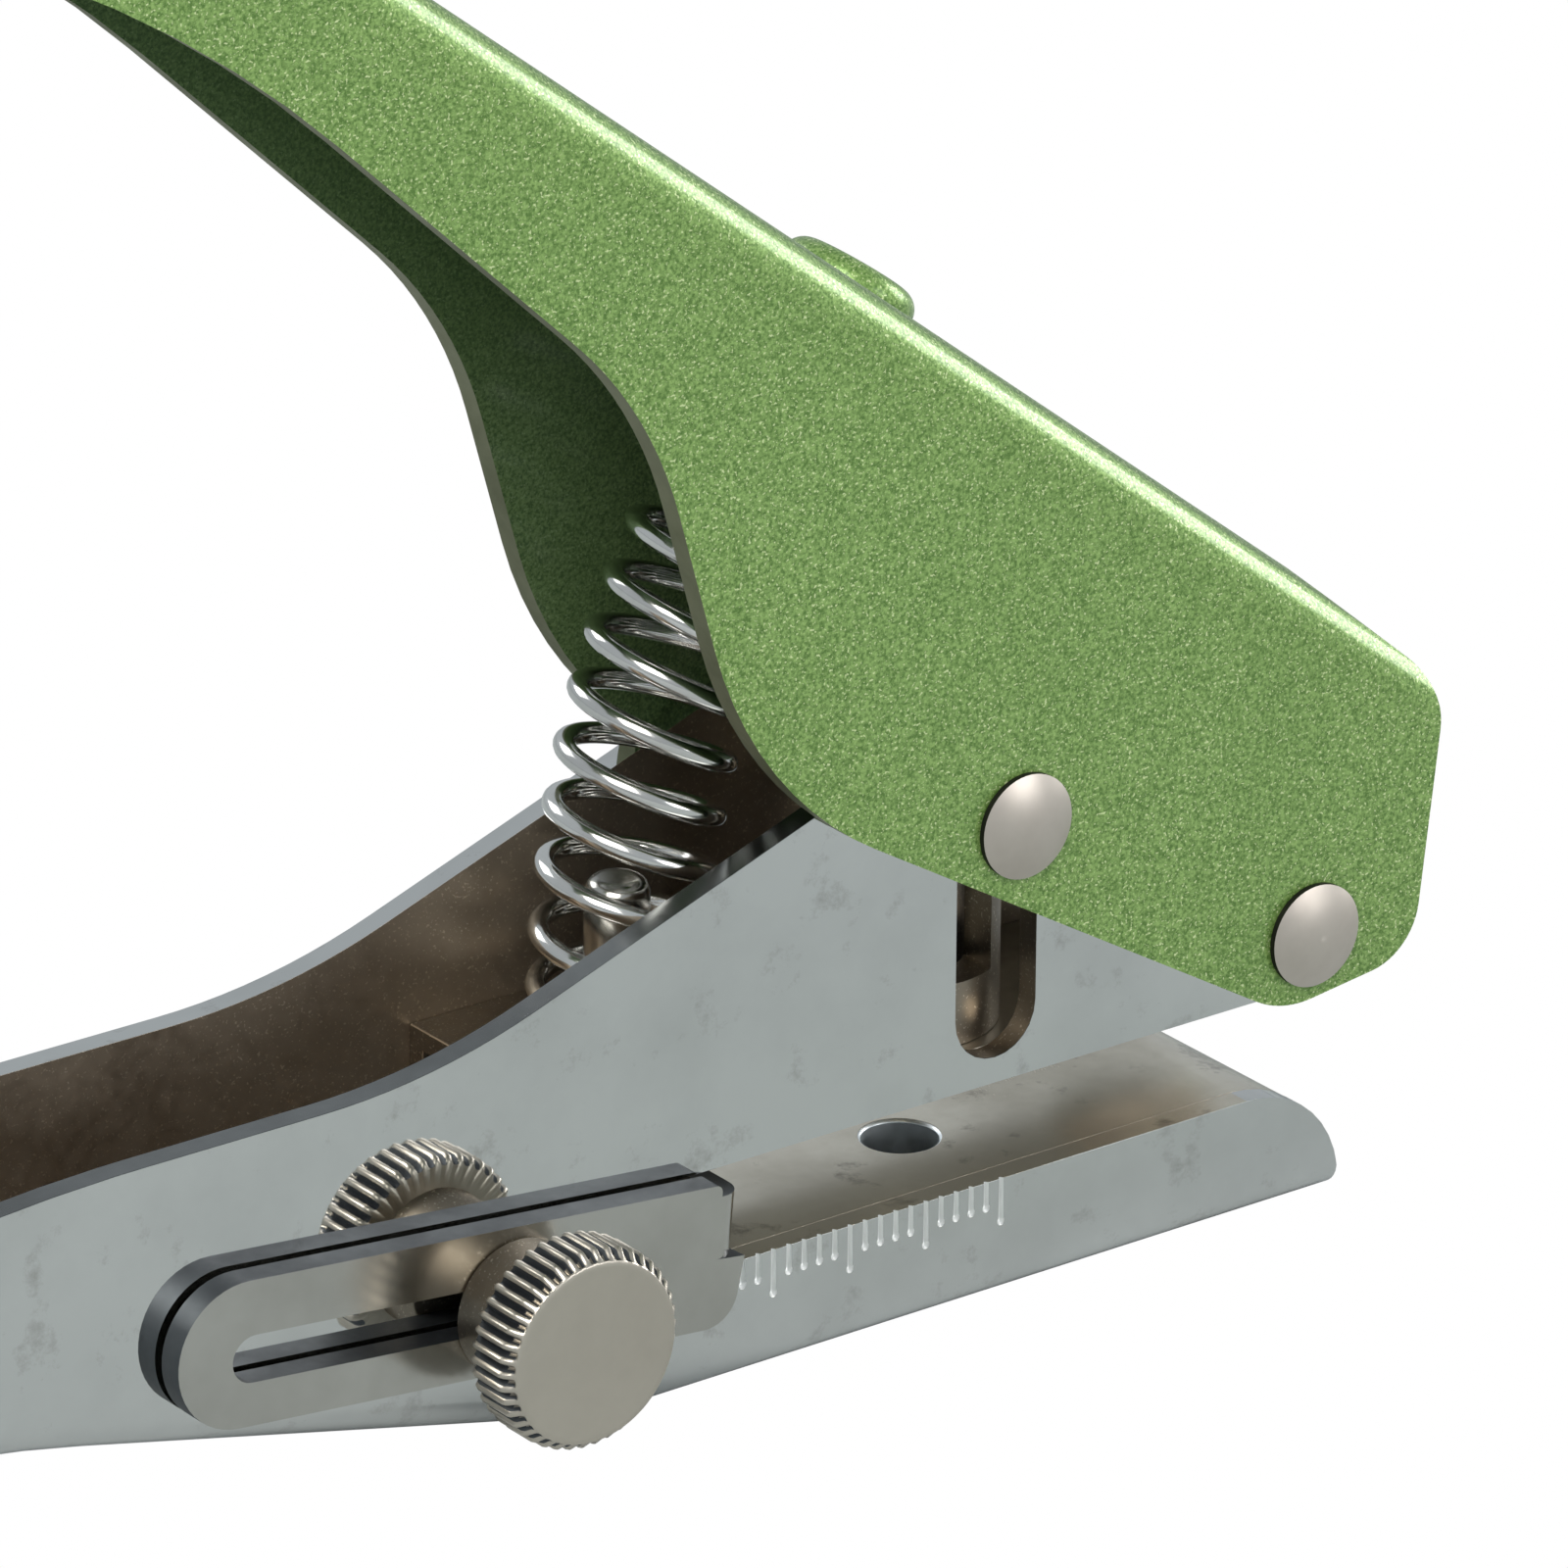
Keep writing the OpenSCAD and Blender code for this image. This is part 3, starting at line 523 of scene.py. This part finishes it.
def knob_mesh(per=8):
    """The thumb screw as a turned profile; its ridges fade out at the rounded edge of the face."""
    turns = RIDGES * per
    bm = bmesh.new()
    rings = []
    for r, y, ridged in knob_profile():
        ring = []
        for k in range(turns if r else 1):
            a = 2 * math.pi * k / turns
            deep = RIDGE_DEPTH * ridged * (0.5 - 0.5 * math.cos(2 * math.pi * k / per)) ** 1.6
            ring.append(bm.verts.new(((r - deep) * math.cos(a), -y, (r - deep) * math.sin(a))))
        rings.append(ring)
    for u, v in zip(rings, rings[1:]):
        for k in range(turns):
            m = (k + 1) % turns
            corners = [u[k % len(u)], u[m % len(u)], v[m % len(v)], v[k % len(v)]]
            bm.faces.new(list(dict.fromkeys(corners)))
    bmesh.ops.recalc_face_normals(bm, faces=bm.faces)
    place = Matrix.Translation(jaw(*SCREW)) @ Matrix.Scale(MM, 4)
    bmesh.ops.transform(bm, matrix=place, verts=bm.verts)
    me = bpy.data.meshes.new("knob")
    bm.to_mesh(me)
    bm.free()
    smooth(me, 50)
    return me


# zones: tests of a face by its centre in the jaw frame and its normal

def inside_body(c, n):
    floor_z = SHEET - JAW.z - 0.1
    return abs(c.y) < BODY_IN + 0.07 and n.z > -0.1 and abs(n.x) < 0.98 and c.z > floor_z


def behind_jaw(c):
    return c.z > 1.5 or c.x < -40


def wall_top(c, n):
    return BODY_IN - 0.53 < -c.y < BODY_HALF - SEAM and n.z > 0.5 and behind_jaw(c)


def wall_brink(c, n):
    return -c.y > BODY_HALF - 0.23 and n.y < -0.2 and n.z > 0.2 and behind_jaw(c)


def slot_wall(c, n):
    in_sheet = BODY_IN - 0.43 < abs(c.y) < BODY_HALF - 0.13 and abs(n.y) < 0.3
    beside = abs(c.x) < PIN_SLOT_W / 2 + 0.55
    return in_sheet and beside and PIN_SLOT_LOW - 6 < c.z < PIN_SLOT_HIGH + 5.6


def jaw_edge(c, n):
    return c.x > -21 and abs(c.z) < 0.03 and n.z > 0.9


def in_ruler(c, n):
    reach = TICKS / 2
    middle = RULER_FRONT - (TICKS - 1) / 2
    sunk = 0.01 < c.y + BODY_HALF < 0.23
    return sunk and abs(c.x - middle) < reach and -LONG_TICK - 0.53 < c.z < -0.12


def in_die_hole(c, n):
    return abs(n.z) < 0.9 and math.hypot(c.x, c.y) < DIE_HOLE_R + 0.5


def inside_handle(c, n):
    return abs(c.y) < HANDLE_IN + 0.06 and n.z < 0.3


def cut_handle(c, n):
    in_sheet = HANDLE_IN + 0.06 < abs(c.y) < HANDLE_HALF - 0.14
    return in_sheet and abs(n.y) < 0.2 and n.z < 0.3


def rivet_rim(c, n):
    return abs(n.y) < 0.3 and abs(c.y) > HANDLE_HALF - 0.2


def plate_rim(c, n):
    return abs(n.y) < 0.45


# painted shade: the knob's grooves are coloured near-black like the plate's rims
def knob_groove(c, n):
    x = c.x - SCREW.x
    z = c.z - SCREW.z
    part = math.atan2(z, x) / (2 * math.pi) * RIDGES % 1
    outer = math.hypot(x, z) > KNOB_R - 0.62
    on_rim = outer and KNOB_BACK + 0.05 < -c.y < KNOB_FACE - 0.2
    return on_rim and 0.3 < part < 0.7


# painted shade: the neck under the knob is coloured dark steel
def knob_neck(c, n):
    near = math.hypot(c.x - SCREW.x, c.z - SCREW.z) < HUB_R + 0.1
    return near and PLATE_OUT - 0.03 < -c.y < KNOB_BACK + 0.05


# pieces

def placed(node, me, body, mat, zones=()):
    """Object that shows a node: it rides its body, and each zone is a material and a test."""
    ob = bpy.data.objects.new("v_" + node, me)
    bpy.context.collection.objects.link(ob)
    me.materials.clear()
    me.materials.append(mat)
    for k, (zone_mat, test) in enumerate(zones):
        me.materials.append(zone_mat)
        for p in me.polygons:
            if test(p.center / MM - JAW, p.normal):
                p.material_index = k + 1
    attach(ob, body)
    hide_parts(node)
    return ob


def piece(node, body, mat, ease=0, zones=(), trim=None, grooves=None):
    """A node's own mesh, trimmed, its edges eased by a width in mm, and grooves cut in."""
    me = merged(node)
    if trim is not None:
        me = carved(me, trim)
    if ease:
        me = eased(me, ease)
    if grooves is not None:
        me = carved(me, grooves)
    smooth(me)
    me = modified(me, "WEIGHTED_NORMAL", weight=100, keep_sharp=True)
    return placed(node, me, body, mat, zones)


def lower_pieces():
    piece("body_shell", "body", CHROME, ease=PLATED_EASE, grooves=ruler(),
          zones=[(INNER_BROWN, inside_body), (WALL_TOP, wall_top), (BRINK, wall_brink),
                 (DARK_STEEL_AND_SHADE, slot_wall), (DIE, jaw_edge), (STAMPED_AND_HIGHLIGHT, in_ruler)])
    piece("die_plate", "body", DIE, ease=0.04, zones=[(BORE_PAINTED_LIGHT, in_die_hole)])
    piece("jaw_plate", "body", JAW_IN, ease=0.08)
    piece("guide_sleeve", "body", DARK_STEEL_AND_SHADE, ease=0.10)
    piece("spring_bridge", "body", DARK_STEEL_AND_SHADE, ease=0.10)
    piece("spring_post", "body", NICKEL)
    piece("clamp_nut", "body", DARK_STEEL_AND_SHADE, ease=0.15)


def handle_pieces():
    piece("pivot_rivet", "pivot", RIVET, zones=[(GAP, rivet_rim)])
    piece("handle_shell", "handle", GREEN, ease=0.14, trim=foot_corners(),
          zones=[(SHADED, inside_handle), (EDGE, cut_handle)])
    piece("drive_rivet", "handle", RIVET, zones=[(GAP, rivet_rim)])
    piece("spring_stud", "handle", GREEN)
    piece("punch", "punch", DIE, ease=0.06)


def guide_pieces():
    plate = piece("guide_plate", "guide", NICKEL, ease=PLATED_EASE,
                  zones=[(PLATE_EDGE, plate_rim)])
    tighten_stop(plate.data)
    placed("thumb_screw", knob_mesh(), "screw", KNOB,
           # painted shade: dark colours in the knob's grooves and on its neck
           zones=[(PLATE_EDGE, knob_groove), (DARK_STEEL_AND_SHADE, knob_neck)])


def spring_piece():
    coil = placed("spring", spring_mesh(), "body", WIRE)
    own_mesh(coil)


lower_pieces()
handle_pieces()
guide_pieces()
spring_piece()


# stage: white to the camera, softer greys to everything that mirrors it

def white_to_camera(nt, kind, other, out):
    """Links a white shader of this kind for camera rays, and the other for all else, to the
    output node."""
    mix = nt.nodes.new("ShaderNodeMixShader")
    lp = nt.nodes.new("ShaderNodeLightPath")
    white = nt.nodes.new(kind)
    white.inputs[0].default_value = (1, 1, 1, 1)
    white.inputs[1].default_value = 1.0
    nt.links.new(lp.outputs["Is Camera Ray"], mix.inputs[0])
    nt.links.new(other.outputs[0], mix.inputs[1])
    nt.links.new(white.outputs[0], mix.inputs[2])
    nt.links.new(mix.outputs[0], out.inputs[0])


def floor(half=3.0, drop=0.2):
    m = bpy.data.materials.new("floor")
    m.use_nodes = True
    nt = m.node_tree
    nt.nodes.clear()
    out = nt.nodes.new("ShaderNodeOutputMaterial")
    flat = nt.nodes.new("ShaderNodeBsdfDiffuse")
    flat.inputs[0].default_value = (0.43, 0.455, 0.46, 1)
    white_to_camera(nt, "ShaderNodeEmission", flat, out)
    me = bpy.data.meshes.new("floor")
    me.from_pydata([(-half, -half, 0), (half, -half, 0), (half, half, 0), (-half, half, 0)], [],
                   [(0, 1, 2, 3)])
    me.materials.append(m)
    ob = bpy.data.objects.new("floor", me)
    ob.location.z = -drop * MM
    bpy.context.collection.objects.link(ob)


def world():
    w = bpy.data.worlds.new("studio")
    bpy.context.scene.world = w
    w.use_nodes = True
    nt = w.node_tree
    nt.nodes.clear()
    out = nt.nodes.new("ShaderNodeOutputWorld")
    soft = nt.nodes.new("ShaderNodeBackground")
    soft.inputs[0].default_value = (0.80, 0.86, 0.90, 1)
    soft.inputs[1].default_value = 0.55
    white_to_camera(nt, "ShaderNodeBackground", soft, out)


def lamp(name, spot, size, power, color=(1, 1, 1)):
    """Soft rectangular lamp, in metres and watts, that faces the middle of the part."""
    d = bpy.data.lights.new(name, "AREA")
    d.shape = "RECTANGLE"
    d.size = size[0]
    d.size_y = size[1]
    d.energy = power
    d.color = color
    ob = bpy.data.objects.new(name, d)
    ob.location = spot
    toward = Vector((0.005, 0, 0.03)) - Vector(spot)
    ob.rotation_euler = toward.to_track_quat("-Z", "Y").to_euler()
    bpy.context.collection.objects.link(ob)


def camera(turn=-37.07, height=22.79, roll=0.3811, left=6.139, above=18.678, away=600,
           lens=259.47):
    """Camera turned and raised by angles in degrees, aimed beside and above the punch axis by
    distances in mm."""
    az = math.radians(turn)
    el = math.radians(height)
    lean = math.radians(roll)
    right = Vector((math.cos(az), math.sin(az), 0))
    back = Vector((math.sin(az) * math.cos(el), -math.cos(az) * math.cos(el), math.sin(el)))
    up = back.cross(right)
    across = right * math.cos(lean) + up * math.sin(lean)
    upward = up * math.cos(lean) - right * math.sin(lean)
    centre = JAW - left * across + above * upward
    cam = bpy.data.cameras.new("camera")
    cam.lens = lens
    cam.sensor_width = 36
    cam.clip_start = 0.05
    cam.clip_end = 20
    ob = bpy.data.objects.new("camera", cam)
    axes = Matrix((across, upward, back)).transposed().to_4x4()
    ob.matrix_world = Matrix.Translation((centre + away * back) * MM) @ axes
    bpy.context.collection.objects.link(ob)
    bpy.context.scene.camera = ob


floor()
world()
lamp("key", (-0.42, -0.36, 0.56), (0.5, 0.5), 5.3, (1.0, 0.98, 0.93))
lamp("side", (0.50, -0.95, 0.30), (0.5, 0.4), 2.1)
lamp("rim", (-0.2, 0.95, 0.6), (0.6, 0.5), 2.5)
lamp("nose", (0.95, -0.14, 0.20), (0.42, 0.36), 3.6)
camera()
bpy.context.scene.view_settings.view_transform = "Standard"
